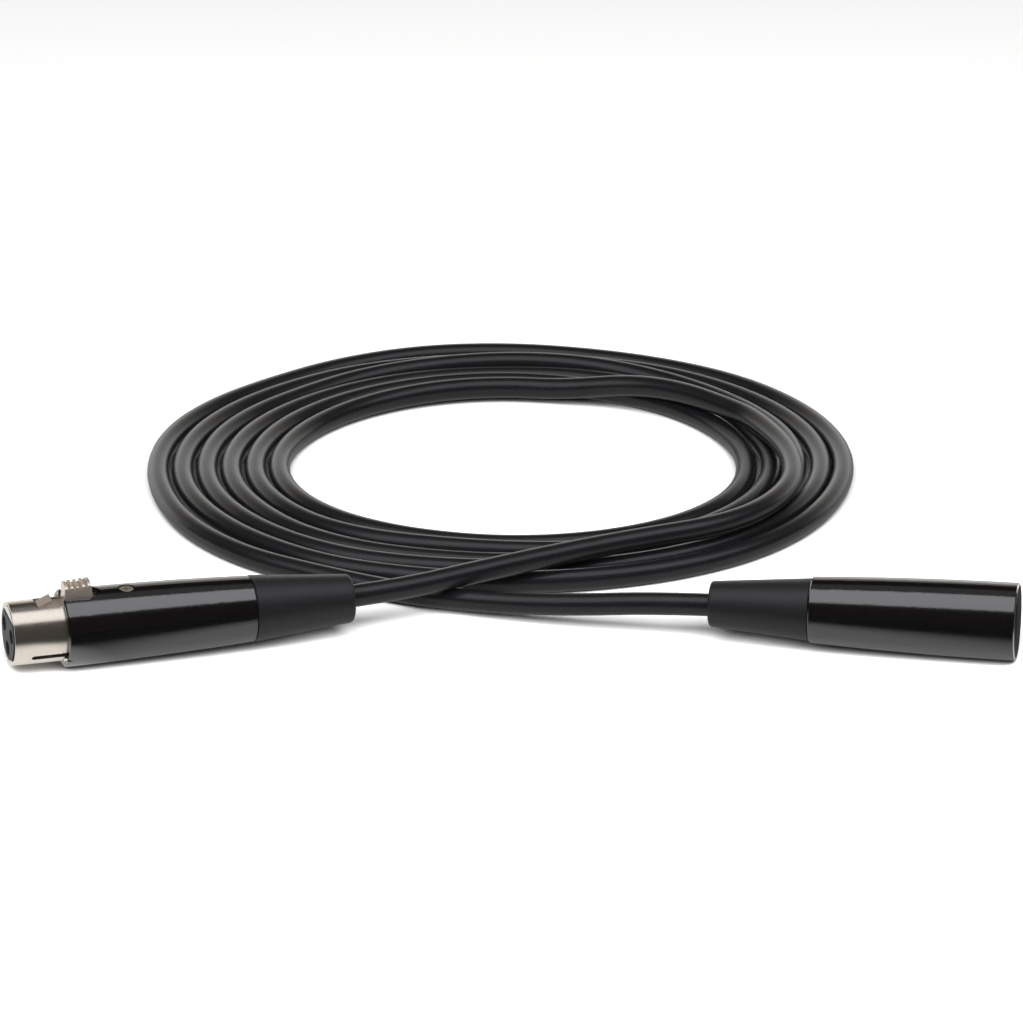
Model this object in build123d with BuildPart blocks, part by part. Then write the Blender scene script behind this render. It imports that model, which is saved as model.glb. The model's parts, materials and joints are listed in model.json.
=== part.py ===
from build123d import *
import os
from math import cos, pi, radians, sin, tan

# XLR microphone cable, coiled flat on a table: a female connector, a male connector and the cable.
# Frame: +X from the female connector to the male one, +Z up, the table top at z = 0, and the origin
# on the table under the middle of the two connectors. Lengths are in millimetres.
#
# Each connector has its own plane: origin at the centre of its front face, z out of the face,
# x towards its key. A station is a distance back from that face along the connector's axis.

# ---- driving dimensions -------------------------------------------------------------------------
CABLE_R = 2.85                # PVC jacket
WIRE_R = 0.65                 # one insulated core
BUNDLE_R = 1.15               # where the cores lie together in the jacket
WIRE_STRAIGHT = 8.0
WIRE_BEND_R = 9.0

PIN_R = 1.195                 # contact pin of a three-pin connector
PIN_FRONT = 2.5
PIN_TIP_R = 0.8
PIN_SHANK_R = 1.445
PIN_CIRCLE_R = 3.95
CONTACT_ANGLES = (75, -75, 180)

NOSE_R = 7.94                 # female nose, front land that pilots the mating shell
NOSE_TAIL_R = 7.84            # it tapers to this at its rear end
NOSE_EDGE_R = 0.9
NOSE_BORE_R = 6.75
NOSE_LAND = 7.0
INSERT_LENGTH = 36.0
FACE_WALL = 1.5
STEM_R = 1.0                  # stem of either set screw

FEMALE_SHELL_R = (9.60, 8.94, 8.18)       # front, middle and rear
FEMALE_SHELL_STATIONS = (13.2, 45.0, 61.3)
FEMALE_BOOT_R = (8.30, 6.00)
FEMALE_BOOT_END = 86.8

MALE_SHELL_R = (9.60, 9.14, 8.20)
MALE_SHELL_STATIONS = (0.0, 29.0, 51.2)
MALE_BOOT_R = (7.75, 5.65)
MALE_BOOT_END = 76.4
MOUTH_R = 8.10                # cavity that the mating nose enters
MOUTH_BEVEL = 0.95            # lead-in at the mouth
MOUTH_DEPTH = 15.5
MALE_INSULATOR_BACK = 26.0
CATCH_STATION = 10.5          # recess that the mating latch hooks into
CATCH_LENGTH = 4.0
CATCH_DEPTH = 0.85

SHELL_BORE_R = 7.00           # rear bore, where the boot plugs in
SHELL_FRONT_BORE_R = 8.10
RIM = 0.3                     # bevel at a sleeve's rim
BOOT_NECK = 8.0
BOOT_NECK_GAP = 0.15
BOOT_EDGE_R = 0.9
BOOT_CAVITY = 3.5
BOOT_CAVITY_R = 5.95
CABLE_BORE_R = 3.00
JACKET_IN_BOOT = 28.5         # jacket length held inside boot and clamp
JACKET_AHEAD = 0.5            # jacket that stands out ahead of the clamp

INSULATOR_R = 6.65
INSULATOR_FLAT = 4.55
OPENING_FLAT = 4.70
INSULATOR_PROUD = 0.15
INSULATOR_BACK = 24.0
SOCKET_R = 1.60
SOCKET_BORE_R = 1.21
SOCKET_BORE_DEPTH = 15.0
SOCKET_RECESS = 1.2
COUNTERSINK_R = 1.92
COUNTERSINK_DEPTH = 0.7
CONTACT_GAP = 0.05
CUP_R = 1.40
CUP_BORE_R = 1.00
CUP_LENGTH = 5.0
CUP_DEPTH = 3.0
GROUND_TAB_ANGLE = 127.5
GROUND_TAB_FOOT = 4.6
TAB_LENGTH = 8.0
TAB_THICK = 0.5
TAB_WIDTH = 2.2
GROUND_TAB_GAP = 0.15

WINDOW_WIDTH = 5.2            # latch window and the slot for the button
WINDOW_STATIONS = (6.5, 28.0)
BUTTON_SLOT_WIDTH = 5.6
BUTTON_SLOT_END = 22.8
BUTTON_SLOT_LENGTH = 10.5     # past the shell's front rim
LEVER_WIDTH = 4.6
LEVER_UNDER = 6.40            # radius of the lever strip's underside
LEVER_THICK = 0.60
HOOK_STATIONS = (7.0, 10.5)
HOOK_TOP = 8.95
HOOK_WIDTH = 3.6
HOOK_GAP = 1.3                # from the fold to where the hook's underside leaves the strip
HOOK_END = 0.25               # slant of its end
PIVOT_STATION = 26.5
PIVOT_RADIUS = 6.60
PIVOT_PIN_R = 0.60
PIVOT_BORE_R = 0.65
PIVOT_PIN_HALF_LENGTH = 3.6
BARREL_R = 1.15
BUTTON_STATIONS = (13.6, 21.0)
BUTTON_WIDTH = 4.8
BUTTON_SLANT = 0.8            # its rear face leans forward by this much
BUTTON_DIP = 11.2             # the thumb hollow between the ridges' feet
BUTTON_CROWN_R = 4.4          # its top is arched across
BUTTON_CROWN_TOPS = (12.4, 12.95)
RIDGE_TOPS = (12.5, 12.15, 12.1, 12.35, 13.0)      # front to back
RIDGE_HEIGHT = 0.9
RIDGE_R = 0.42
SPRING_STATION = 17.4
SPRING_R = 1.05
SPRING_WIRE_R = 0.16
SPRING_TURNS = 4
SPRING_END_GAP = 0.08

SCREW_STATION = 29.6          # female, beside the key
MALE_SCREW_STATION = 21.0     # male, opposite the key
SCREW_R = 1.80
SCREW_HEAD = 1.0
SCREW_SEAT_GAP = 0.10
SCREW_HOLE_R = 1.95
STEM_LENGTH = 1.2
STEM_GAP = 0.05
RECESS_LENGTH = 2.4
RECESS_WIDTH = 0.5
RECESS_DEPTH = 0.45
SLOT_ANGLE = -119.0           # side slot in the nose
SLOT_STATIONS = (4.3, 18.0)
SLOT_WIDTH = 1.5
NOTCH_ANGLE = -122.0          # rim notch that keeps the nose from turning
NOTCH_DEPTH = 1.3
NOTCH_HALF_WIDTH = 0.9
TAB_HALF_WIDTH = 0.65          # the nose's tab in that notch
TAB_FRONT = 0.9
TAB_POINT = 0.7
TAB_HEIGHT = 1.1
TAB_SUNK = 0.3

CLAMP_R = 5.70
CLAMP_BORE_R = 2.90
CLAMP_LENGTH = 6.0
CLAMP_GAP = 0.6
CLAMP_SCREW_Y = 3.9
CLAMP_SCREW_R = 0.60
CLAMP_SCREW_REACH = 3.0
CLAMP_HEAD_R = 0.85
CLAMP_HEAD_SEAT = 2.35
CLAMP_HEAD = 0.8
CLAMP_SLOT = 0.3

# Where the connectors lie: the middle of each one's tail end, and the way its face points.
FEMALE_TAIL = (-40.2, 13.3)
FEMALE_HEADING = 196.4
FEMALE_ROLL = 6.5
MALE_TAIL = (48.8, 9.4)
MALE_HEADING = -9.45
MALE_ROLL = 0.0

COIL_CENTRE = (-1.6, 129.2)
COIL_INNER_R = 57.0
COIL_OUTER_R = 94.3
COIL_FLAT = 0.05

JOIN = 0.05                   # overlap that joins two features of one piece
HELD_GAP = 0.02               # round a pin or screw that is held
CLEAR = 1.0                   # a cut starts this far outside the surface
CUT_DEPTH = 5.0

os.makedirs("parts", exist_ok=True)


# ---- frames and small helpers -------------------------------------------------------------------
def connector_plane(tail, heading, roll, length, height):
    """The plane on a connector's front face, from its tail end, heading and roll."""
    out = Vector(cos(radians(heading)), sin(radians(heading)), 0)
    side = Vector(0, 0, 1).cross(out)
    key = Vector(0, 0, 1) * cos(radians(roll)) + side * sin(radians(roll))
    face = Vector(tail[0], tail[1], height) + out * length
    return Plane(origin=face, x_dir=key, z_dir=out)


def section(frame):
    """The plane through the axis: local x is the radius towards the key, local y the station."""
    return Plane(origin=frame.origin, x_dir=frame.x_dir, z_dir=frame.y_dir)


def across(frame, station):
    """The plane square to the axis at a station, facing forward."""
    return frame.offset(-station)


def spoke(frame, angle, station, radius):
    """A plane facing outward at a radius: local x runs back along the axis."""
    outward = frame.x_dir * cos(radians(angle)) + frame.y_dir * sin(radians(angle))
    origin = frame.origin + outward * radius - frame.z_dir * station
    return Plane(origin=origin, x_dir=-frame.z_dir, z_dir=outward)


def turned_about_axis(frame, angle):
    """The connector's plane with its x direction turned away from the key by an angle."""
    direction = frame.x_dir * cos(radians(angle)) + frame.y_dir * sin(radians(angle))
    return Plane(origin=frame.origin, x_dir=direction, z_dir=frame.z_dir)


def on_axis(frame, station, x=0.0, y=0.0):
    """A point given by station and offsets, in the part's frame."""
    return frame.origin + frame.x_dir * x + frame.y_dir * y - frame.z_dir * station


def axis_of(frame):
    return Axis(frame.origin, frame.z_dir)


def contact_places():
    return [(PIN_CIRCLE_R * cos(radians(a)), PIN_CIRCLE_R * sin(radians(a))) for a in CONTACT_ANGLES]


def save(piece, name):
    piece.part.label = name
    export_step(piece.part, f"parts/{name}.step")


def ground_tab(frame, name, start, reach):
    """A bent strip behind the insulator that touches the metal round it."""
    end = start + TAB_LENGTH
    with BuildPart() as strip:
        with BuildSketch(section(turned_about_axis(frame, GROUND_TAB_ANGLE))):
            with BuildLine():
                Polyline(
                    (GROUND_TAB_FOOT, start), (reach, start), (reach, end), (reach - TAB_THICK, end),
                    (reach - TAB_THICK, start + TAB_THICK), (GROUND_TAB_FOOT, start + TAB_THICK), close=True,
                )
            make_face()
        extrude(amount=TAB_WIDTH / 2, both=True)
    save(strip, name)


FEMALE = connector_plane(FEMALE_TAIL, FEMALE_HEADING, FEMALE_ROLL, FEMALE_BOOT_END, FEMALE_SHELL_R[0])
MALE = connector_plane(MALE_TAIL, MALE_HEADING, MALE_ROLL, MALE_BOOT_END, MALE_SHELL_R[0])


# ---- female connector: nose sleeve, insulator, sockets --------------------------------------------
with BuildPart() as female_nose_sleeve:
    with BuildSketch(section(FEMALE)):
        with BuildLine():
            Polyline(
                (NOSE_BORE_R, 0), (NOSE_R, 0), (NOSE_R, NOSE_LAND),
                (NOSE_TAIL_R, INSERT_LENGTH), (NOSE_BORE_R, INSERT_LENGTH), close=True,
            )
        make_face()
    revolve(axis=axis_of(FEMALE))
    front_edge = edges().filter_by(GeomType.CIRCLE).sort_by(
        lambda e: (e.center() - FEMALE.origin).length * 10 - e.radius)[0]
    fillet(front_edge, NOSE_EDGE_R)
    # the face wall, cut with the D-shaped opening
    with BuildSketch(across(FEMALE, FACE_WALL)):
        Circle(NOSE_BORE_R + JOIN)
        with Locations((OPENING_FLAT - NOSE_BORE_R, 0)):
            Rectangle(2 * NOSE_BORE_R, 4 * NOSE_BORE_R, mode=Mode.SUBTRACT)
    extrude(amount=FACE_WALL)
    # the latch window, open through the wall
    with BuildSketch(section(FEMALE)):
        with Locations((NOSE_R, sum(WINDOW_STATIONS) / 2)):
            Rectangle(CUT_DEPTH, WINDOW_STATIONS[1] - WINDOW_STATIONS[0])
    extrude(amount=WINDOW_WIDTH / 2, both=True, mode=Mode.SUBTRACT)
    # the hole for the latch's pivot pin, through the wall on both sides of the window
    with BuildSketch(section(FEMALE)):
        with Locations((PIVOT_RADIUS, PIVOT_STATION)):
            Circle(PIVOT_PIN_R + HELD_GAP)
    extrude(amount=NOSE_R, both=True, mode=Mode.SUBTRACT)
    # the side slot
    with BuildSketch(spoke(FEMALE, SLOT_ANGLE, sum(SLOT_STATIONS) / 2, NOSE_R + CLEAR)):
        SlotOverall(SLOT_STATIONS[1] - SLOT_STATIONS[0], SLOT_WIDTH)
    extrude(amount=-CUT_DEPTH, mode=Mode.SUBTRACT)
    # the hole for the set screw's stem
    with BuildSketch(spoke(FEMALE, 0, SCREW_STATION, NOSE_R + CLEAR)):
        Circle(STEM_R + STEM_GAP)
    extrude(amount=-CUT_DEPTH, mode=Mode.SUBTRACT)
    # the anti-turn tab that stands in the shell's rim notch
    with BuildSketch(spoke(FEMALE, NOTCH_ANGLE, FEMALE_SHELL_STATIONS[0], NOSE_R - TAB_SUNK)):
        Polygon(
            (-TAB_FRONT, -TAB_HALF_WIDTH), (-TAB_FRONT, TAB_HALF_WIDTH), (TAB_POINT, 0), align=None,
        )
    extrude(amount=TAB_SUNK + TAB_HEIGHT)
save(female_nose_sleeve, "female_nose_sleeve")

with BuildPart() as female_insulator:
    with BuildSketch(across(FEMALE, INSULATOR_BACK)):
        Circle(INSULATOR_R)
        with Locations((INSULATOR_FLAT + INSULATOR_R, 0)):
            Rectangle(2 * INSULATOR_R, 4 * INSULATOR_R, mode=Mode.SUBTRACT)
        with Locations(*contact_places()):
            Circle(SOCKET_R + CONTACT_GAP, mode=Mode.SUBTRACT)
    extrude(amount=INSULATOR_BACK + INSULATOR_PROUD)
    with BuildSketch(across(FEMALE, -INSULATOR_PROUD)):
        with Locations(*contact_places()):
            Circle(COUNTERSINK_R)
    extrude(amount=-COUNTERSINK_DEPTH, taper=20, mode=Mode.SUBTRACT)
save(female_insulator, "female_insulator")

for number, place in enumerate(contact_places(), start=1):
    with BuildPart() as female_socket:
        with BuildSketch(across(FEMALE, INSULATOR_BACK)):
            with Locations(place):
                Circle(SOCKET_R)
        extrude(amount=INSULATOR_BACK - SOCKET_RECESS)
        with BuildSketch(across(FEMALE, INSULATOR_BACK + CUP_LENGTH)):
            with Locations(place):
                Circle(CUP_R)
        extrude(amount=CUP_LENGTH)
        with BuildSketch(across(FEMALE, SOCKET_RECESS)):
            with Locations(place):
                Circle(SOCKET_BORE_R)
        extrude(amount=-SOCKET_BORE_DEPTH, mode=Mode.SUBTRACT)
        with BuildSketch(across(FEMALE, INSULATOR_BACK + CUP_LENGTH)):
            with Locations(place):
                Circle(CUP_BORE_R)
        extrude(amount=CUP_DEPTH, mode=Mode.SUBTRACT)
    save(female_socket, f"female_socket_{number}")

ground_tab(FEMALE, "female_ground_tab", INSULATOR_BACK, NOSE_BORE_R - GROUND_TAB_GAP)


# ---- latch ------------------------------------------------------------------------------------------
with BuildPart() as latch_lever:
    strip_top = LEVER_UNDER + LEVER_THICK
    hook_front, hook_back = HOOK_STATIONS
    with BuildSketch(section(FEMALE)):
        with BuildLine():
            Polyline(
                (LEVER_UNDER, hook_front), (LEVER_UNDER, PIVOT_STATION),
                (strip_top, PIVOT_STATION), (strip_top, hook_front), close=True,
            )
        make_face()
        with Locations((PIVOT_RADIUS, PIVOT_STATION)):
            Circle(BARREL_R)
            Circle(PIVOT_BORE_R, mode=Mode.SUBTRACT)
    extrude(amount=LEVER_WIDTH / 2, both=True)
    # the hook: the strip's front end, folded up and back
    with BuildSketch(section(FEMALE)):
        with BuildLine():
            Polyline(
                (strip_top - JOIN, hook_front), (strip_top - JOIN, hook_front + HOOK_GAP),
                (strip_top, hook_front + HOOK_GAP), (HOOK_TOP - LEVER_THICK, hook_back + HOOK_END),
                (HOOK_TOP, hook_back), (strip_top + LEVER_THICK / 2, hook_front), close=True,
            )
        make_face()
    extrude(amount=HOOK_WIDTH / 2, both=True)
save(latch_lever, "latch_lever")

with BuildPart() as latch_button:
    button_front, button_back = BUTTON_STATIONS
    button_middle = (button_front + button_back) / 2
    ridges_end = button_back - BUTTON_SLANT
    ridge_pitch = (ridges_end - button_front - 2 * RIDGE_R) / (len(RIDGE_TOPS) - 1)
    with BuildSketch(section(FEMALE)):
        with BuildLine():
            Polyline(
                (strip_top, button_front), (strip_top, button_back),
                (RIDGE_TOPS[-1] - RIDGE_HEIGHT, ridges_end), (BUTTON_DIP, button_middle),
                (RIDGE_TOPS[0] - RIDGE_HEIGHT, button_front), close=True,
            )
        make_face()
        for ridge, top in enumerate(RIDGE_TOPS):
            station = button_front + RIDGE_R + ridge * ridge_pitch
            with Locations((top - RIDGE_R, station)):
                Circle(RIDGE_R)
            with Locations((top - RIDGE_R - RIDGE_HEIGHT / 2, station)):
                Rectangle(RIDGE_HEIGHT, 2 * RIDGE_R)
    extrude(amount=BUTTON_WIDTH / 2, both=True)
    # the arched top
    with BuildSketch(across(FEMALE, button_front - CLEAR)):
        with Locations((BUTTON_CROWN_TOPS[0] - BUTTON_CROWN_R, 0)):
            Circle(BUTTON_CROWN_R)
        with Locations((strip_top, 0)):
            Rectangle(BUTTON_CROWN_R, BUTTON_WIDTH + CLEAR)
    with BuildSketch(across(FEMALE, button_back + CLEAR)):
        with Locations((BUTTON_CROWN_TOPS[1] - BUTTON_CROWN_R, 0)):
            Circle(BUTTON_CROWN_R)
        with Locations((strip_top, 0)):
            Rectangle(BUTTON_CROWN_R, BUTTON_WIDTH + CLEAR)
    loft(mode=Mode.INTERSECT)
save(latch_button, "latch_button")

with BuildPart() as latch_pivot_pin:
    with BuildSketch(section(FEMALE)):
        with Locations((PIVOT_RADIUS, PIVOT_STATION)):
            Circle(PIVOT_PIN_R)
    extrude(amount=PIVOT_PIN_HALF_LENGTH, both=True)
save(latch_pivot_pin, "latch_pivot_pin")

with BuildPart() as latch_spring:
    end_room = SPRING_WIRE_R + SPRING_END_GAP
    spring_height = LEVER_UNDER - INSULATOR_FLAT - 2 * end_room
    with BuildLine(spoke(FEMALE, 0, SPRING_STATION, INSULATOR_FLAT + end_room)):
        coil_line = Helix(
            pitch=spring_height / SPRING_TURNS, height=spring_height, radius=SPRING_R,
        )
    with BuildSketch(Plane(origin=coil_line @ 0, z_dir=coil_line % 0)):
        Circle(SPRING_WIRE_R)
    sweep(path=coil_line, is_frenet=True)
save(latch_spring, "latch_spring")


# ---- shells ------------------------------------------------------------------------------------------
def tapered_shell(frame, radii, stations, front_bore, step, bevel):
    """A tapered sleeve, bulged outside, with a stepped bore and a bevel inside its front rim."""
    front, middle, rear = stations
    with BuildPart() as sleeve:
        with BuildSketch(section(frame)):
            with BuildLine():
                ThreePointArc((radii[0], front + RIM), (radii[1], middle), (radii[2], rear - RIM))
                Polyline(
                    (radii[2], rear - RIM), (radii[2] - RIM, rear), (SHELL_BORE_R, rear),
                    (SHELL_BORE_R, step), (front_bore, step), (front_bore, front + bevel),
                    (front_bore + bevel, front), (radii[0] - RIM, front), (radii[0], front + RIM),
                )
            make_face()
        revolve(axis=axis_of(frame))
    return sleeve.part


def set_screw(frame, name, angle, station, seat):
    """A cross-recessed set screw, sunk in the shell, whose stem reaches through the wall under it."""
    with BuildPart() as screw:
        with BuildSketch(spoke(frame, angle, station, seat)):
            Circle(SCREW_R)
        extrude(amount=SCREW_HEAD)
        with BuildSketch(spoke(frame, angle, station, seat)):
            Circle(STEM_R)
        extrude(amount=-STEM_LENGTH)
        with BuildSketch(spoke(frame, angle, station, seat + SCREW_HEAD)):
            Rectangle(RECESS_LENGTH, RECESS_WIDTH)
            Rectangle(RECESS_WIDTH, RECESS_LENGTH)
        extrude(amount=-RECESS_DEPTH, mode=Mode.SUBTRACT)
    save(screw, name)


def screw_hole(frame, angle, station, radius):
    """The plug that cuts a screw's hole through a shell, from above the shell's surface."""
    with BuildPart() as plug:
        with BuildSketch(spoke(frame, angle, station, radius + CLEAR)):
            Circle(SCREW_HOLE_R)
        extrude(amount=-CUT_DEPTH)
    return plug.part


with BuildPart() as female_shell:
    add(tapered_shell(FEMALE, FEMALE_SHELL_R, FEMALE_SHELL_STATIONS, SHELL_FRONT_BORE_R,
                      INSERT_LENGTH + CLEAR, RIM))
    # the button's slot, open at the front and rounded behind the button
    with BuildSketch(spoke(FEMALE, 0, BUTTON_SLOT_END, FEMALE_SHELL_R[0] + CLEAR)):
        with Locations((-BUTTON_SLOT_LENGTH, 0)):
            SlotOverall(2 * BUTTON_SLOT_LENGTH, BUTTON_SLOT_WIDTH)
    extrude(amount=-CUT_DEPTH, mode=Mode.SUBTRACT)
    add(screw_hole(FEMALE, 0, SCREW_STATION, FEMALE_SHELL_R[0]), mode=Mode.SUBTRACT)
    with BuildSketch(spoke(FEMALE, NOTCH_ANGLE, FEMALE_SHELL_STATIONS[0], FEMALE_SHELL_R[0] + CLEAR)):
        Polygon((-CLEAR, -NOTCH_HALF_WIDTH), (-CLEAR, NOTCH_HALF_WIDTH), (NOTCH_DEPTH, 0), align=None)
    extrude(amount=-CUT_DEPTH, mode=Mode.SUBTRACT)
save(female_shell, "female_shell")
set_screw(FEMALE, "female_set_screw", 0, SCREW_STATION, NOSE_R + SCREW_SEAT_GAP)

with BuildPart() as male_shell:
    add(tapered_shell(MALE, MALE_SHELL_R, MALE_SHELL_STATIONS, MOUTH_R, MALE_INSULATOR_BACK,
                      MOUTH_BEVEL))
    # the catch that a mating latch hooks into, sunk in the cavity's roof
    with BuildSketch(section(MALE)):
        with Locations((MOUTH_R, CATCH_STATION)):
            Rectangle(2 * CATCH_DEPTH, CATCH_LENGTH)
    extrude(amount=WINDOW_WIDTH / 2, both=True, mode=Mode.SUBTRACT)
    add(screw_hole(MALE, 180, MALE_SCREW_STATION, MALE_SHELL_R[0]), mode=Mode.SUBTRACT)
save(male_shell, "male_shell")


# ---- male connector: insulator, pins, set screw -----------------------------------------------------
with BuildPart() as male_insulator:
    with BuildSketch(across(MALE, MALE_INSULATOR_BACK)):
        Circle(MOUTH_R - CONTACT_GAP)
        with Locations(*contact_places()):
            Circle(PIN_SHANK_R + CONTACT_GAP, mode=Mode.SUBTRACT)
    extrude(amount=MALE_INSULATOR_BACK - MOUTH_DEPTH)
    with BuildSketch(spoke(MALE, 180, MALE_SCREW_STATION, MOUTH_R)):
        Circle(STEM_R + STEM_GAP)
    extrude(amount=-STEM_LENGTH - STEM_GAP, mode=Mode.SUBTRACT)
save(male_insulator, "male_insulator")

for number, place in enumerate(contact_places(), start=1):
    with BuildPart() as male_pin:
        with BuildSketch(across(MALE, MOUTH_DEPTH)):
            with Locations(place):
                Circle(PIN_R)
        extrude(amount=MOUTH_DEPTH - PIN_FRONT)
        tip = edges().filter_by(GeomType.CIRCLE).sort_by(
            lambda e: (e.center() - MALE.origin).dot(MALE.z_dir))[-1]
        fillet(tip, PIN_TIP_R)
        with BuildSketch(across(MALE, MALE_INSULATOR_BACK)):
            with Locations(place):
                Circle(PIN_SHANK_R)
        extrude(amount=MALE_INSULATOR_BACK - MOUTH_DEPTH)
        with BuildSketch(across(MALE, MALE_INSULATOR_BACK + CUP_LENGTH)):
            with Locations(place):
                Circle(CUP_R)
        extrude(amount=CUP_LENGTH)
        with BuildSketch(across(MALE, MALE_INSULATOR_BACK + CUP_LENGTH)):
            with Locations(place):
                Circle(CUP_BORE_R)
        extrude(amount=CUP_DEPTH, mode=Mode.SUBTRACT)
    save(male_pin, f"male_pin_{number}")

set_screw(MALE, "male_set_screw", 180, MALE_SCREW_STATION, MOUTH_R + SCREW_SEAT_GAP)
ground_tab(MALE, "male_ground_tab", MALE_INSULATOR_BACK, SHELL_BORE_R - GROUND_TAB_GAP)


# ---- boots, clamps and wires, the same on both connectors -------------------------------------------
def boot(frame, name, radii, base, end):
    """Tapered rubber sleeve: a neck plugged in the shell, a cavity for the clamp, a cable bore."""
    neck_r = SHELL_BORE_R - BOOT_NECK_GAP
    with BuildPart() as sleeve:
        with BuildSketch(section(frame)):
            with BuildLine():
                Polyline(
                    (neck_r, base - BOOT_NECK), (neck_r, base),
                    (radii[0] - RIM, base), (radii[0], base + RIM), (radii[1], end),
                    (CABLE_BORE_R, end), (CABLE_BORE_R, base + BOOT_CAVITY),
                    (BOOT_CAVITY_R, base + BOOT_CAVITY), (BOOT_CAVITY_R, base - BOOT_NECK), close=True,
                )
            make_face()
        revolve(axis=axis_of(frame))
        at_end = edges().filter_by(GeomType.CIRCLE).filter_by(
            lambda e: abs((e.center() - frame.origin).dot(frame.z_dir) + end) < JOIN)
        fillet(at_end.sort_by(SortBy.RADIUS)[-1], BOOT_EDGE_R)
    save(sleeve, name)


def clamp(frame, side, start):
    """Two clamp halves round the jacket, drawn together by two screws."""
    for name, sign in (("bridge", 1), ("base", -1)):
        with BuildPart() as half:
            with BuildSketch(across(frame, start + CLAMP_LENGTH)):
                Circle(CLAMP_R)
                Circle(CLAMP_BORE_R, mode=Mode.SUBTRACT)
                with Locations((sign * (CLAMP_GAP / 2 - CLAMP_R), 0)):
                    Rectangle(2 * CLAMP_R, 3 * CLAMP_R, mode=Mode.SUBTRACT)
            extrude(amount=CLAMP_LENGTH)
            for y in (CLAMP_SCREW_Y, -CLAMP_SCREW_Y):
                bore_plane = Plane(origin=on_axis(frame, start + CLAMP_LENGTH / 2, 0, y),
                                   x_dir=frame.y_dir, z_dir=frame.x_dir)
                with BuildSketch(bore_plane):
                    Circle(CLAMP_SCREW_R + HELD_GAP)
                extrude(amount=CLAMP_R, both=True, mode=Mode.SUBTRACT)
                if sign > 0:
                    with BuildSketch(bore_plane.offset(CLAMP_HEAD_SEAT)):
                        Circle(CLAMP_HEAD_R + CONTACT_GAP)
                    extrude(amount=CLAMP_R, mode=Mode.SUBTRACT)
        save(half, f"{side}_clamp_{name}")
    with BuildPart() as screws:
        for y in (CLAMP_SCREW_Y, -CLAMP_SCREW_Y):
            foot = Plane(origin=on_axis(frame, start + CLAMP_LENGTH / 2, -CLAMP_SCREW_REACH, y),
                         x_dir=frame.y_dir, z_dir=frame.x_dir)
            with BuildSketch(foot):
                Circle(CLAMP_SCREW_R)
            extrude(amount=CLAMP_SCREW_REACH + CLAMP_HEAD_SEAT + JOIN)
            with BuildSketch(foot.offset(CLAMP_SCREW_REACH + CLAMP_HEAD_SEAT)):
                Circle(CLAMP_HEAD_R)
            extrude(amount=CLAMP_HEAD)
            with BuildSketch(foot.offset(CLAMP_SCREW_REACH + CLAMP_HEAD_SEAT + CLAMP_HEAD)):
                Rectangle(CLAMP_SLOT, 2 * CLAMP_HEAD_R)
            extrude(amount=-CLAMP_SLOT, mode=Mode.SUBTRACT)
    save(screws, f"{side}_clamp_screws")


def wires(frame, side, cup_floor, jacket_end):
    """Three cores from their solder cups to the cut end of the jacket."""
    bundle = BUNDLE_R / PIN_CIRCLE_R
    for number, (x, y) in enumerate(contact_places(), start=1):
        with BuildPart() as wire:
            with BuildLine():
                route = FilletPolyline(
                    on_axis(frame, cup_floor, x, y),
                    on_axis(frame, cup_floor + WIRE_STRAIGHT, x, y),
                    on_axis(frame, jacket_end - WIRE_STRAIGHT, x * bundle, y * bundle),
                    on_axis(frame, jacket_end, x * bundle, y * bundle),
                    radius=WIRE_BEND_R,
                )
            with BuildSketch(Plane(origin=route @ 0, z_dir=route % 0)):
                Circle(WIRE_R)
            sweep(path=route)
        save(wire, f"{side}_wire_{number}")


for frame, side, radii, base, end, cup_floor in (
    (FEMALE, "female", FEMALE_BOOT_R, FEMALE_SHELL_STATIONS[2], FEMALE_BOOT_END,
     INSULATOR_BACK + CUP_LENGTH - CUP_DEPTH),
    (MALE, "male", MALE_BOOT_R, MALE_SHELL_STATIONS[2], MALE_BOOT_END,
     MALE_INSULATOR_BACK + CUP_LENGTH - CUP_DEPTH),
):
    jacket_end = end - JACKET_IN_BOOT
    boot(frame, f"{side}_boot", radii, base, end)
    clamp(frame, side, jacket_end + JACKET_AHEAD)
    wires(frame, side, cup_floor, jacket_end)


# ---- cable --------------------------------------------------------------------------------------------
def corner_radii(points):
    """0.45 of the shorter run over the tangent of half the turn, for each corner of a route."""
    radii = []
    for before, here, after in zip(points, points[1:], points[2:]):
        first = here - before
        second = after - here
        turn = first.get_angle(second)
        radii.append(0.45 * min(first.length, second.length) / tan(radians(turn / 2)))
    return radii


def cable_lead(points, name):
    """A plain round tube along straight runs joined by arcs."""
    radii = corner_radii(points)
    with BuildPart() as lead:
        with BuildLine():
            route = FilletPolyline(*points, radius=radii)
        with BuildSketch(Plane(origin=route @ 0, z_dir=route % 0)):
            Circle(CABLE_R)
        sweep(path=route)
    expected = pi * CABLE_R ** 2 * route.length
    print(name, "arc radii", [round(r) for r in radii])
    print(name, "length", round(route.length, 1), "volume / section x length",
          round(lead.part.volume / expected, 4))
    save(lead, name)


# From inside the female boot, up over the front of the coil and round its right side.
cable_lead(
    [
        on_axis(FEMALE, FEMALE_BOOT_END - JACKET_IN_BOOT),
        on_axis(FEMALE, FEMALE_BOOT_END + 6.0),
        Vector(-3.6, 35.1, 9.7),
        Vector(25.7, 53.6, 9.2),
        Vector(57.0, 69.0, 8.9),
        Vector(73.2, 94.4, 8.8),
        Vector(74.2, 122.3, 8.7),
        Vector(64.7, 148.6, 8.5),
        Vector(47.7, 167.6, 6.3),
    ],
    "cable_lead_female",
)

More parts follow.
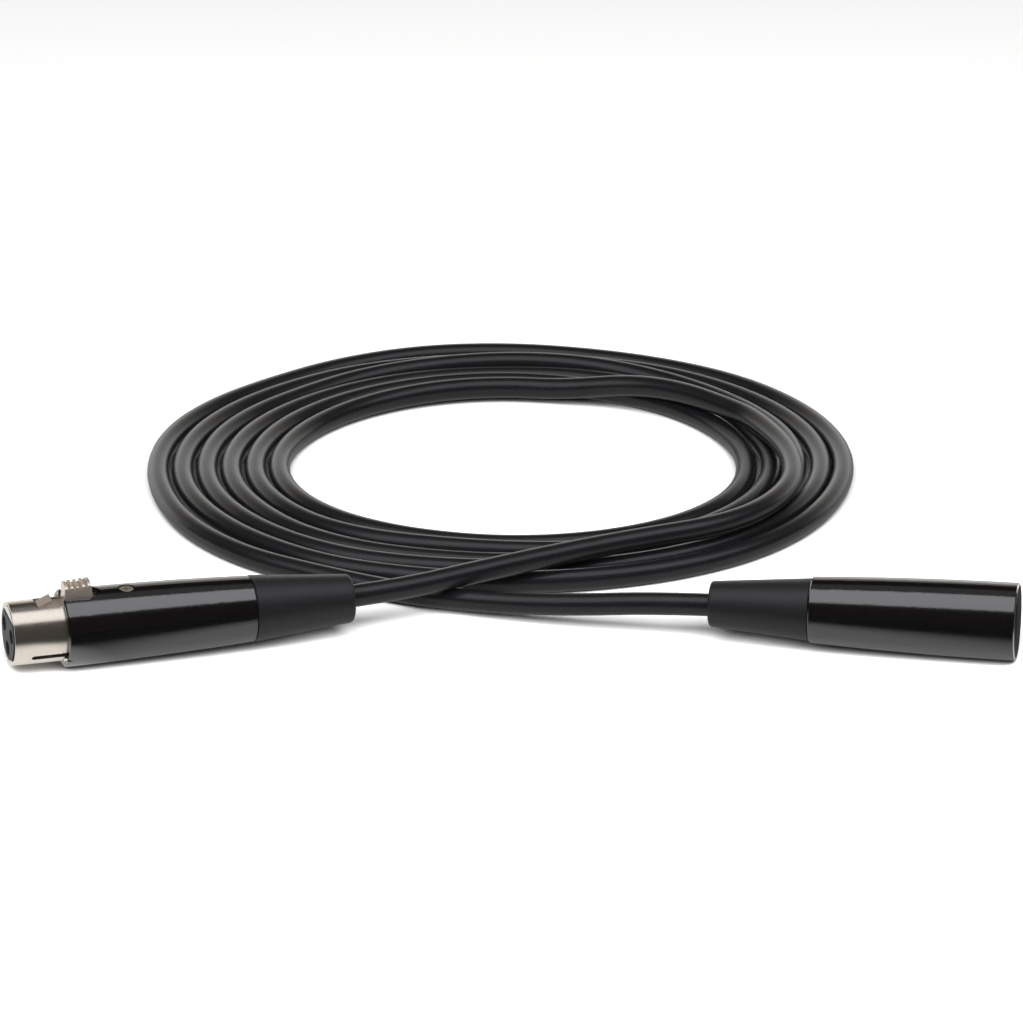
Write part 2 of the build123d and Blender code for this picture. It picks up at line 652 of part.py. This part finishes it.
# From the coil's outer turn, along the table and up into the male boot.
cable_lead(
    [
        Vector(-52.3, 49.6, 2.87),
        Vector(-24.3, 32.1, 3.0),
        Vector(7.7, 18.9, 5.4),
        on_axis(MALE, MALE_BOOT_END + 7.0),
        on_axis(MALE, MALE_BOOT_END - JACKET_IN_BOOT),
    ],
    "cable_lead_male",
)

with BuildPart() as cable_coil:
    with BuildSketch(Plane(origin=(*COIL_CENTRE, 0), x_dir=(1, 0, 0), z_dir=(0, -1, 0))):
        with Locations(((COIL_INNER_R + COIL_OUTER_R) / 2, CABLE_R)):
            RectangleRounded(COIL_OUTER_R - COIL_INNER_R, 2 * CABLE_R, CABLE_R - COIL_FLAT)
    revolve(axis=Axis((*COIL_CENTRE, 0), (0, 0, 1)))
save(cable_coil, "cable_coil")
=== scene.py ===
import json
from math import atan2, cos, pi, radians, sin

import bpy
import numpy as np
from mathutils import Matrix, Vector


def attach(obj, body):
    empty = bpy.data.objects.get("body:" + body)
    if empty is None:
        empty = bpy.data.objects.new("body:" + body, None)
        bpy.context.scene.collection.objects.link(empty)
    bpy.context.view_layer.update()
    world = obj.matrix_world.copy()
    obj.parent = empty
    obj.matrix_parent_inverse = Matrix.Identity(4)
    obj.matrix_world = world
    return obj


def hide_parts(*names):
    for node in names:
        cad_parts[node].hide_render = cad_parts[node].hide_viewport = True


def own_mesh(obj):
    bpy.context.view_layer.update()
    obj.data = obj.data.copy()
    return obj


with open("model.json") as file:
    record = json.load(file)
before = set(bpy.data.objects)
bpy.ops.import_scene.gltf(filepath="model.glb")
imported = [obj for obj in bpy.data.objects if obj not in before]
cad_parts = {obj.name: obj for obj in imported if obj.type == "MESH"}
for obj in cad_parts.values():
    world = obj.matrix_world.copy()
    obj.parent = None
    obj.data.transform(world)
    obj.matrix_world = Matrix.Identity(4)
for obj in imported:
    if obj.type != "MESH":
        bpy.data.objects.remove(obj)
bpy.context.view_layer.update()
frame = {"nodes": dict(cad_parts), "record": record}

# A microphone cable coiled flat on a table, with a female and a male connector. Metres, +Z up.

MM = 0.001
AXES = {mount["name"]: Vector(mount["axis"]) for mount in frame["record"]["mounts"]}
scene = bpy.context.scene
scene.view_settings.view_transform = "Standard"


def in_scene(name, data):
    made = bpy.data.objects.new(name, data)
    scene.collection.objects.link(made)
    return made


# ---- camera --------------------------------------------------------------------------------------
CAMERA_ELEVATION = radians(20.2)
CAMERA_DISTANCE = 1.9
CAMERA_LENS = 257.3
SENSOR_WIDTH = 36.0
VIEW_DEPTH = 20.0
LOOK_AT = Vector((-0.0003, 0.1011, 0.0))

camera = in_scene("camera", bpy.data.cameras.new("camera"))
camera.data.lens = CAMERA_LENS
camera.data.sensor_width = SENSOR_WIDTH
camera.data.clip_end = VIEW_DEPTH
backwards = Vector((0.0, -cos(CAMERA_ELEVATION), sin(CAMERA_ELEVATION)))
camera.location = LOOK_AT + CAMERA_DISTANCE * backwards
camera.rotation_euler = (pi / 2 - CAMERA_ELEVATION, 0.0, 0.0)
scene.camera = camera


# ---- cable ---------------------------------------------------------------------------------------
CABLE_R = 2.85 * MM
COIL_CENTRE = Vector((-1.6, 129.2, 0.0)) * MM
FIRST_TURN_R = 59.7 * MM                 # half a turn in
TURN_PITCH = 6.36 * MM
POINTS_PER_TURN = 24
COIL_STARTS, COIL_ENDS = 5, 135          # counted in points, from the right-hand side
STRAND_GAP = 5.76 * MM                   # between the middles of strands that touch
SAME_STRETCH = 30 * MM                   # nearer along the cable than this is the same strand
SPREAD_STEPS = 60
HELD_POINTS = 3                          # at either end, inside and just behind a boot
STEPS_PER_POINT = 8
STEPS_ROUND = 8                          # of a quarter of the cable's section

# From inside the female boot, over the front of the coil and down its right side, in mm.
FEMALE_LEAD = [
    (-67.54, 5.25, 9.6), (-34.44, 14.99, 9.6), (-3.6, 35.1, 9.7), (25.7, 53.5, 9.2),
    (57.2, 68.4, 8.9), (72.3, 94.0, 8.8), (73.4, 121.8, 8.7), (64.7, 148.6, 8.5),
    (57.2, 158.6, 8.4), (45.7, 171.1, 8.3), (32.2, 181.1, 6.9),
]
# From the coil's outer turn, along the table and up into the male boot, in mm.
MALE_LEAD = [
    (-52.6, 49.0, 2.87), (-24.3, 32.1, 3.0), (7.7, 18.9, 5.4), (41.89, 10.55, 9.6),
    (76.91, 4.72, 9.6),
]
# Where a turn strays from the spiral: (turns, half width in turns, outward mm, upward mm).
STRAYS = [
    (0.25, 0.20, 1.1, 1.0), (0.70, 0.10, -1.0, 0.0), (0.90, 0.12, 2.2, 0.0),
    (1.25, 0.22, 0.6, 0.4), (1.72, 0.10, -1.6, 0.85), (1.95, 0.15, 0.6, 0.0),
    (2.19, 0.09, 1.6, 0.5), (2.645, 0.06, 1.8, 0.0), (3.05, 0.12, 0.8, 0.0),
    (3.24, 0.16, -1.2, 2.1), (3.385, 0.06, -2.0, 0.0), (3.74, 0.08, -1.5, 0.45),
    (4.00, 0.15, 0.9, 0.0), (4.27, 0.10, -2.3, 0.0), (4.375, 0.07, -0.8, 0.0),
    (4.66, 0.06, 1.2, 0.0), (4.87, 0.10, 1.2, 0.0), (5.19, 0.07, -1.2, 0.0),
    (5.28, 0.05, 1.2, 0.0), (5.38, 0.07, -3.0, 0.0), (5.62, 0.09, 2.6, 0.0),
]


def coil_point(turns):
    """A control point of the flat spiral, turns counted anticlockwise from the right-hand side."""
    radius = FIRST_TURN_R + TURN_PITCH * (turns - 0.5)
    height = CABLE_R
    for place, half_width, outward, upward in STRAYS:
        away = abs(turns - place) / half_width
        if away < 1:
            share = 0.5 + 0.5 * cos(pi * away)
            radius += outward * MM * share
            height += upward * MM * share
    # the spline cuts inside its control points by this much
    radius /= 0.75 + 0.25 * cos(2 * pi / POINTS_PER_TURN)
    angle = 2 * pi * turns
    return COIL_CENTRE + Vector((radius * cos(angle), radius * sin(angle), height))


def spread_apart(points):
    """Pushes stretches of cable that lie too near each other apart, and keeps them off the floor."""
    points = np.array(points)
    for _ in range(SPREAD_STEPS):
        # places on the spline: halfway between two points, and abreast of each point
        places = np.empty((2 * len(points) - 3, 3))
        places[0::2] = (points[:-1] + points[1:]) / 2
        places[1::2] = (points[:-2] + 6 * points[1:-1] + points[2:]) / 8
        runs = places[1:] - places[:-1]
        reach = np.concatenate([[0.0], np.cumsum(np.linalg.norm(runs, axis=1))])
        offset = places[:, None] - places[None, :-1]
        share = np.clip((offset * runs).sum(-1) / (runs * runs).sum(-1), 0, 1)
        offset -= share[..., None] * runs
        distance = np.linalg.norm(offset, axis=-1)
        apart = np.abs(reach[:, None] - reach[None, :-1]) > SAME_STRETCH
        push = np.zeros_like(places)
        weight = np.zeros(len(places))
        for here, run in zip(*np.nonzero((distance < STRAND_GAP) & apart)):
            away = offset[here, run] / distance[here, run] * (STRAND_GAP - distance[here, run]) / 2
            along = share[here, run]
            for place, part in ((here, 1.0), (run, along - 1.0), (run + 1, -along)):
                push[place] += part * away
                weight[place] += abs(part)
        push /= np.maximum(weight, 1.0)[:, None]
        move = np.zeros_like(points)
        move[:-1] += push[0::2]
        move[1:] += push[0::2]
        move[1:-1] += push[1::2]
        move /= 2
        move[1:-1] = (move[:-2] + 2 * move[1:-1] + move[2:]) / 4
        points[HELD_POINTS:-HELD_POINTS] += move[HELD_POINTS:-HELD_POINTS]
        points[:, 2] = np.maximum(points[:, 2], CABLE_R)
    return points


route = [Vector(point) * MM for point in FEMALE_LEAD]
route += [coil_point(step / POINTS_PER_TURN) for step in range(COIL_STARTS, COIL_ENDS + 1)]
route += [Vector(point) * MM for point in MALE_LEAD]
route = spread_apart(route)

line = bpy.data.curves.new("cable", "CURVE")
line.dimensions = "3D"
spline = line.splines.new("NURBS")
spline.points.add(len(route) - 1)
for point, place in zip(spline.points, route):
    point.co = (*place, 1.0)
    point.radius = CABLE_R
spline.order_u = 3
spline.use_endpoint_u = True
spline.resolution_u = STEPS_PER_POINT
line.bevel_depth = 1.0                   # times each point's radius
line.bevel_resolution = STEPS_ROUND
line.use_fill_caps = True
cable = in_scene("cable", line)

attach(cable, "cable")
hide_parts("cable_coil", "cable_lead_female", "cable_lead_male")


# ---- materials -----------------------------------------------------------------------------------
MIX_A, MIX_B, MIX_RESULT = 6, 7, 2       # a Mix node's sockets for colour
MALE_MOUTH = Vector((124.164, -3.144, 9.6)) * MM
MOUTH_LIP_R = 9.05 * MM
MOUTH_DEPTH = 24 * MM
RIM_DEPTH = 0.25 * MM
RIM_COLOUR = (0.72, 0.70, 0.67, 1.0)
MOUTH_ROUGHNESS = (0.7, 0.7, 0.7, 1.0)


class Shader:
    """A Principled material with small node helpers. A value is a node's output or a constant."""

    def __init__(self, name, **sockets):
        self.material = bpy.data.materials.new(name)
        self.material.use_nodes = True
        self.tree = self.material.node_tree
        self.surface = self.tree.nodes["Principled BSDF"].inputs
        for socket, value in sockets.items():
            self.feed(self.surface[socket.replace("_", " ")], value)

    def node(self, kind, **settings):
        made = self.tree.nodes.new(kind)
        for name, value in settings.items():
            if name in made.inputs:
                self.feed(made.inputs[name], value)
            else:
                setattr(made, name, value)
        return made

    def feed(self, socket, value):
        if isinstance(value, bpy.types.NodeSocket):
            self.tree.links.new(value, socket)
        else:
            socket.default_value = value

    def place(self):
        return self.node("ShaderNodeTexCoord").outputs["Object"]

    def axes(self, place):
        return self.node("ShaderNodeSeparateXYZ", Vector=place).outputs

    def noise(self, scale, detail):
        """Noise in object space, in cells per metre."""
        return self.node("ShaderNodeTexNoise", Vector=self.place(), Scale=scale, Detail=detail,
                         Roughness=0.6).outputs["Fac"]

    def math(self, operation, *values):
        made = self.node("ShaderNodeMath", operation=operation)
        for socket, value in zip(made.inputs, values):
            self.feed(socket, value)
        return made.outputs["Value"]

    def ramp(self, value, low, high, start=0.0, end=1.0, kind="LINEAR"):
        """value from start to end becomes low to high."""
        ends = {"From Min": start, "From Max": end, "To Min": low, "To Max": high}
        made = self.node("ShaderNodeMapRange", interpolation_type=kind, Value=value, **ends)
        return made.outputs["Result"]

    def mix(self, factor, one, other):
        made = self.node("ShaderNodeMix", data_type="RGBA", Factor=factor)
        self.feed(made.inputs[MIX_A], one)
        self.feed(made.inputs[MIX_B], other)
        return made.outputs[MIX_RESULT]


def grained(name, low, high, rough, grain, depth, strength=0.4, detail=3.0, patches=None,
            **sockets):
    """Colour, roughness and relief follow one fine grain, or the colour follows wider patches.
    Grain and patches are in cells per metre."""
    shader = Shader(name, **sockets)
    fine = shader.noise(grain, detail)
    wide = shader.noise(patches, 3.0) if patches else fine
    relief = shader.node("ShaderNodeBump", Strength=strength, Distance=depth, Height=fine)
    shader.feed(shader.surface["Base Color"], shader.mix(wide, (*low, 1.0), (*high, 1.0)))
    shader.feed(shader.surface["Roughness"], shader.ramp(fine, *rough))
    shader.feed(shader.surface["Normal"], relief.outputs["Normal"])
    return shader


def black_coat(name):
    return grained(name, (0.0008, 0.0008, 0.001), (0.0016, 0.0016, 0.0019), (0.11, 0.18),
                   grain=1500, detail=2.0, patches=160, depth=0.03 * MM, strength=0.5, IOR=2.15)


def mouth_coat(name):
    """The black coat, worn to bright metal round the rim of the mouth and dull inside it."""
    shader = black_coat(name)
    turn = Matrix.Rotation(-atan2(AXES["pin_1"].y, AXES["pin_1"].x), 3, "Z")
    align = shader.node("ShaderNodeMapping", Vector=shader.place(), Rotation=turn.to_euler(),
                        Location=-(turn @ MALE_MOUTH))
    along, across, up = shader.axes(align.outputs["Vector"])
    flat = shader.node("ShaderNodeCombineXYZ", Y=across, Z=up)
    length = shader.node("ShaderNodeVectorMath", operation="LENGTH")
    shader.feed(length.inputs[0], flat.outputs["Vector"])
    radius = length.outputs["Value"]
    inside = shader.math("MULTIPLY", shader.math("LESS_THAN", radius, MOUTH_LIP_R),
                         shader.math("GREATER_THAN", along, -MOUTH_DEPTH))
    rim = shader.math("MULTIPLY", shader.math("GREATER_THAN", radius, MOUTH_LIP_R),
                      shader.math("GREATER_THAN", along, -RIM_DEPTH))
    for socket, where, value in (("Base Color", rim, RIM_COLOUR),
                                 ("Roughness", inside, MOUTH_ROUGHNESS)):
        coat = shader.surface[socket].links[0].from_socket
        shader.feed(shader.surface[socket], shader.mix(where, coat, value))
    shader.feed(shader.surface["Metallic"], rim)
    return shader


def metal(name, low, high, rough, grain=700, depth=0.01 * MM, metallic=0.985):
    return grained(name, low, high, rough, grain, depth, Metallic=metallic)


def nylon(name, low, high, rough=(0.42, 0.58), shine=0.5):
    return grained(name, low, high, rough, 3000, 0.03 * MM, Specular_IOR_Level=shine)


SHADERS = {
    "cable": grained("cable_pvc", (0.0025, 0.0025, 0.003), (0.005, 0.005, 0.006), (0.24, 0.34),
                     grain=2600, detail=2.0, patches=90, depth=0.04 * MM, strength=0.5, IOR=1.5),
    "shell_black": black_coat("black_coat"),
    "mouth_coat": mouth_coat("mouth_coat"),
    "boot_rubber": grained("boot_rubber", (0.001, 0.001, 0.0013), (0.008, 0.008, 0.009),
                           (0.34, 0.48), grain=3800, detail=2.0, depth=0.09 * MM, strength=0.8,
                           IOR=1.5),
    "nickel": metal("nickel_plate", (0.61, 0.56, 0.485), (0.73, 0.68, 0.605), (0.18, 0.27),
                    grain=1400),
    "satin_nickel": metal("satin_nickel", (0.70, 0.60, 0.51), (0.92, 0.83, 0.73), (0.32, 0.46),
                          grain=1800, depth=0.04 * MM, metallic=0.93),
    "screw_nickel": metal("screw_nickel", (0.55, 0.51, 0.46), (0.95, 0.90, 0.84), (0.2, 0.4),
                          grain=1500),
    "steel": metal("bright_steel", (0.50, 0.50, 0.51), (0.62, 0.62, 0.63), (0.25, 0.4)),
    "insulator": nylon("insulator_nylon", (0.004, 0.006, 0.007), (0.009, 0.012, 0.014),
                       (0.34, 0.46), shine=0.1),
    "brass": metal("tinned_brass", (0.62, 0.55, 0.38), (0.74, 0.66, 0.48), (0.25, 0.4)),
    "contact": metal("silver_plate", (0.70, 0.66, 0.58), (0.86, 0.82, 0.74), (0.15, 0.28)),
    "clamp": metal("zinc_plate", (0.48, 0.48, 0.47), (0.58, 0.58, 0.56), (0.3, 0.5)),
    "wire_white": nylon("core_white", (0.68, 0.68, 0.66), (0.78, 0.78, 0.75)),
    "wire_red": nylon("core_red", (0.40, 0.02, 0.02), (0.50, 0.03, 0.03)),
    "wire_black": nylon("core_black", (0.02, 0.02, 0.02), (0.03, 0.03, 0.03)),
}
# CAD nodes that look different from the rest of their slot
OWN_SHADERS = {
    "latch_button": "satin_nickel", "latch_lever": "satin_nickel", "male_shell": "mouth_coat",
}


def paint(piece, shader):
    piece.data.materials.clear()
    piece.data.materials.append(SHADERS[shader].material)


paint(cable, "cable")
for row in frame["record"]["subparts"]:
    paint(frame["nodes"][row["node"]], OWN_SHADERS.get(row["node"], row["material_slot"]))


cad_spring = frame["nodes"]["latch_spring"]
spring = in_scene("return_spring", cad_spring.data.copy())
spring.matrix_world = cad_spring.matrix_world
paint(spring, "steel")
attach(spring, "cable")
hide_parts("latch_spring")
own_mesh(spring)


# ---- floor and light -----------------------------------------------------------------------------
FLOOR_HALF = 6.0
FLOOR_Z, GLOW_Z = -0.1 * MM, -0.05 * MM
FLOOR_SHADE, FLOOR_WHITE = 0.16, 0.9
SHADOW_REACH = 12 * MM                   # only what stands nearer than this darkens the floor
SHADOW_RAMP = (0.03, 0.45)               # open share of the sky where it is darkest, and white
GLOW_FAR, GLOW_NEAR = 0.006, 0.20        # painted reflection of the floor: how white reflections see it, in front and near
GLOW_RAMP = (-0.030, -0.009)             # and where it fades, along Y
NOSE_RAMP = (-0.096, -0.110)             # along X, where the painted glow grows and reaches further forward, by the nose
NOSE_REACH = 0.014
NOSE_GLOW = 3.2
BOX_REACH = 1.6                          # half the width of a reflected box
WORLD_COLOUR = (1.0, 0.76, 0.56, 1.0)
WORLD_STRENGTH = 0.025


def stage_plane(name, corners, shader):
    mesh = bpy.data.meshes.new(name)
    mesh.from_pydata(corners, [], [(0, 1, 2, 3)])
    mesh.materials.append(shader.material)
    piece = in_scene(name, mesh)
    return piece


def floor_plane(name, height, shader):
    half = FLOOR_HALF
    corners = [(-half, -half), (half, -half), (half, half), (-half, half)]
    return stage_plane(name, [(x, y, height) for x, y in corners], shader)


def reflections_only(piece):
    piece.visible_camera = False
    piece.visible_diffuse = False
    piece.visible_shadow = False
    piece.visible_transmission = False


def white_floor():
    """A white floor with painted shadow, darker only close round the object. Reflections don't see
    it.
    """
    white = Shader("floor_white", Roughness=1.0, Specular_IOR_Level=0.0)
    sky = white.node("ShaderNodeAmbientOcclusion", Distance=SHADOW_REACH).outputs["AO"]
    shade = white.ramp(sky, FLOOR_SHADE, FLOOR_WHITE, *SHADOW_RAMP, kind="SMOOTHSTEP")
    white.feed(white.surface["Base Color"], shade)
    floor_plane("floor", FLOOR_Z, white).visible_glossy = False


def floor_glow():
    """The floor that reflections see instead, a painted reflection: painted shade darkens it towards
    the front, and a painted glow brightens it by the nose.
    """
    glow = Shader("floor_glow", Roughness=1.0, Specular_IOR_Level=0.0)
    x, y, _ = glow.axes(glow.place())
    nose = glow.ramp(x, 0.0, 1.0, *NOSE_RAMP, kind="SMOOTHSTEP")
    reach = glow.math("MULTIPLY_ADD", nose, NOSE_REACH, y)
    shade = glow.ramp(reach, GLOW_FAR, GLOW_NEAR, *GLOW_RAMP, kind="SMOOTHSTEP")
    glow.feed(glow.surface["Base Color"], shade)
    glow.feed(glow.surface["Emission Color"], shade)
    # painted glow: the sheet lights itself, most strongly by the nose
    glow.feed(glow.surface["Emission Strength"], glow.ramp(nose, 1.0, NOSE_GLOW))
    reflections_only(floor_plane("floor_glow", GLOW_Z, glow))


def reflected_box(name, low, high, radiance, colour=(1.0, 1.0, 1.0), distance=1.2):
    """A softbox that only reflections see, across the picture at a distance from the row frame's
    X axis. low and high are elevations from the front, at its left and its right end."""
    corners = []
    for x, elevation in ((-BOX_REACH, low[0]), (BOX_REACH, low[1]),
                         (BOX_REACH, high[1]), (-BOX_REACH, high[0])):
        angle = radians(elevation)
        corners.append((x, -distance * cos(angle), distance * sin(angle)))
    shader = Shader(name, Base_Color=(0.0, 0.0, 0.0, 1.0), Specular_IOR_Level=0.0,
                    Emission_Color=(*colour, 1.0), Emission_Strength=radiance)
    reflections_only(stage_plane(name, corners, shader))


def softbox(name, place, aim, width, height, power):
    """An area light at place that shines towards aim, and isn't mirrored."""
    lamp = bpy.data.lights.new(name, "AREA")
    lamp.shape = "RECTANGLE"
    lamp.size = width
    lamp.size_y = height
    lamp.energy = power
    piece = in_scene(name, lamp)
    piece.location = place
    piece.rotation_euler = (Vector(aim) - Vector(place)).to_track_quat("-Z", "Y").to_euler()
    piece.visible_glossy = False


white_floor()
floor_glow()
world = bpy.data.worlds.new("studio")
world.use_nodes = True
world.node_tree.nodes["Background"].inputs["Color"].default_value = WORLD_COLOUR
world.node_tree.nodes["Background"].inputs["Strength"].default_value = WORLD_STRENGTH
scene.world = world
reflected_box("front_box", low=(37, 66), high=(91, 106), radiance=1.35, colour=(0.97, 0.96, 1.0))
reflected_box("back_strip", low=(148, 148), high=(163, 163), radiance=0.6, colour=(1.0, 0.93, 0.84))
reflected_box("horizon_strip", low=(163, 163), high=(179, 179), radiance=1.3)
reflected_box("high_strip", low=(98, 108), high=(122, 122), radiance=0.16, distance=1.3)
softbox("key_light", place=(0.0, -1.05, 1.08), aim=(0.0, 0.10, 0.0), width=2.4, height=1.2,
        power=88.0)
